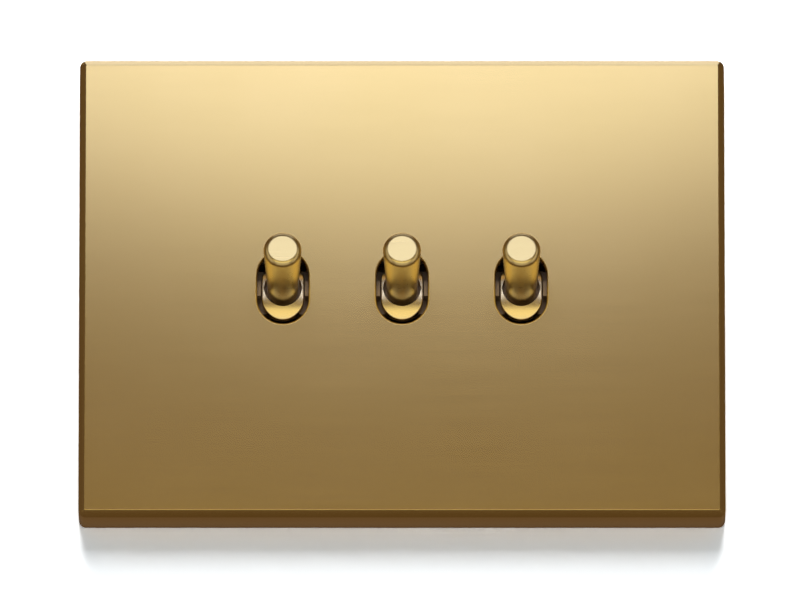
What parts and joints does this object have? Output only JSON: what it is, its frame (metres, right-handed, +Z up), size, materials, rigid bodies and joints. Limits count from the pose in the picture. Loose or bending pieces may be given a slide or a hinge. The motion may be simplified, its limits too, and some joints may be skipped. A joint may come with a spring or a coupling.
{
  "type": "dolly light switch",
  "caption": "Flush wall switch: rectangular satin brass plate with tapered dolly levers in slots, on a frame with clip-in two-way switch modules.",
  "frame": {"origin": "midway between the two box screws, on the wall plane", "axes": "+X to the right along the plate, +Z up, +Y into the wall; the front faces -Y"},
  "size_m": [0.122, 0.0468, 0.089],
  "materials": {
    "satin_brass": "satin, clear lacquer",
    "terminal_brass": "plain stamped",
    "contact_copper": "plain stamped",
    "contact_silver": "plain",
    "zinc_steel": "zinc plated",
    "spring_steel": "drawn wire",
    "carrier_plastic": "fine texture",
    "frame_plastic": "fine texture",
    "housing_plastic": "fine texture",
    "cover_plastic": "fine texture",
    "actuator_plastic": "smooth",
    "plunger_plastic": "smooth"
  },
  "bodies": {
    "wall_unit": {"cover_plate": "satin_brass", "plate_carrier": "carrier_plastic", "mounting_frame": "frame_plastic", "box_screws": "zinc_steel", "fixed_tips_left": "contact_silver", "common_terminal_left": "terminal_brass", "upper_terminal_left": "terminal_brass", "lower_terminal_left": "terminal_brass", "clamp_cages_left": "zinc_steel", "terminal_screws_left": "zinc_steel", "housing_left": "housing_plastic", "front_cover_left": "cover_plastic", "fixed_tips_centre": "contact_silver", "common_terminal_centre": "terminal_brass", "upper_terminal_centre": "terminal_brass", "lower_terminal_centre": "terminal_brass", "clamp_cages_centre": "zinc_steel", "terminal_screws_centre": "zinc_steel", "housing_centre": "housing_plastic", "front_cover_centre": "cover_plastic", "fixed_tips_right": "contact_silver", "common_terminal_right": "terminal_brass", "upper_terminal_right": "terminal_brass", "lower_terminal_right": "terminal_brass", "clamp_cages_right": "zinc_steel", "terminal_screws_right": "zinc_steel", "housing_right": "housing_plastic", "front_cover_right": "cover_plastic"},
    "dolly_body_left": {"dolly_left": "satin_brass", "seat_left": "satin_brass", "actuator_left": "actuator_plastic", "spring_left": "spring_steel"},
    "plunger_body_left": {"plunger_left": "plunger_plastic"},
    "blade_body_left": {"blade_left": "contact_copper", "blade_tips_left": "contact_silver"},
    "dolly_body_centre": {"dolly_centre": "satin_brass", "seat_centre": "satin_brass", "actuator_centre": "actuator_plastic", "spring_centre": "spring_steel"},
    "plunger_body_centre": {"plunger_centre": "plunger_plastic"},
    "blade_body_centre": {"blade_centre": "contact_copper", "blade_tips_centre": "contact_silver"},
    "dolly_body_right": {"dolly_right": "satin_brass", "seat_right": "satin_brass", "actuator_right": "actuator_plastic", "spring_right": "spring_steel"},
    "plunger_body_right": {"plunger_right": "plunger_plastic"},
    "blade_body_right": {"blade_right": "contact_copper", "blade_tips_right": "contact_silver"}
  },
  "joints": [
    {"name": "dolly_tilt_left", "type": "hinge", "parent": "wall_unit", "child": "dolly_body_left", "pos_m": [-0.0225, -0.0064, 0], "axis": [1, 0, 0], "range_deg": [0, 24.4]},
    {"name": "plunger_slide_left", "type": "slide", "parent": "dolly_body_left", "child": "plunger_body_left", "axis": [0, 0.9774, -0.2113], "range_m": [0, 0.0003], "stiffness_N_per_m": 40, "springref_m": 0.003, "deforming": ["spring_left"]},
    {"name": "blade_rock_left", "type": "hinge", "parent": "wall_unit", "child": "blade_body_left", "pos_m": [-0.0225, 0.0056, 0], "axis": [1, 0, 0], "range_deg": [-12.05, 0]},
    {"name": "dolly_tilt_centre", "type": "hinge", "parent": "wall_unit", "child": "dolly_body_centre", "pos_m": [0, -0.0064, 0], "axis": [1, 0, 0], "range_deg": [0, 24.4]},
    {"name": "plunger_slide_centre", "type": "slide", "parent": "dolly_body_centre", "child": "plunger_body_centre", "axis": [0, 0.9774, -0.2113], "range_m": [0, 0.0003], "stiffness_N_per_m": 40, "springref_m": 0.003, "deforming": ["spring_centre"]},
    {"name": "blade_rock_centre", "type": "hinge", "parent": "wall_unit", "child": "blade_body_centre", "pos_m": [0, 0.0056, 0], "axis": [1, 0, 0], "range_deg": [-12.05, 0]},
    {"name": "dolly_tilt_right", "type": "hinge", "parent": "wall_unit", "child": "dolly_body_right", "pos_m": [0.0225, -0.0064, 0], "axis": [1, 0, 0], "range_deg": [0, 24.4]},
    {"name": "plunger_slide_right", "type": "slide", "parent": "dolly_body_right", "child": "plunger_body_right", "axis": [0, 0.9774, -0.2113], "range_m": [0, 0.0003], "stiffness_N_per_m": 40, "springref_m": 0.003, "deforming": ["spring_right"]},
    {"name": "blade_rock_right", "type": "hinge", "parent": "wall_unit", "child": "blade_body_right", "pos_m": [0.0225, 0.0056, 0], "axis": [1, 0, 0], "range_deg": [-12.05, 0]}
  ],
  "couplings": [
    {"joint": "blade_rock_left", "follows": "dolly_tilt_left", "ratio": -0.4918},
    {"joint": "blade_rock_centre", "follows": "dolly_tilt_centre", "ratio": -0.4918},
    {"joint": "blade_rock_right", "follows": "dolly_tilt_right", "ratio": -0.4918}
  ]
}
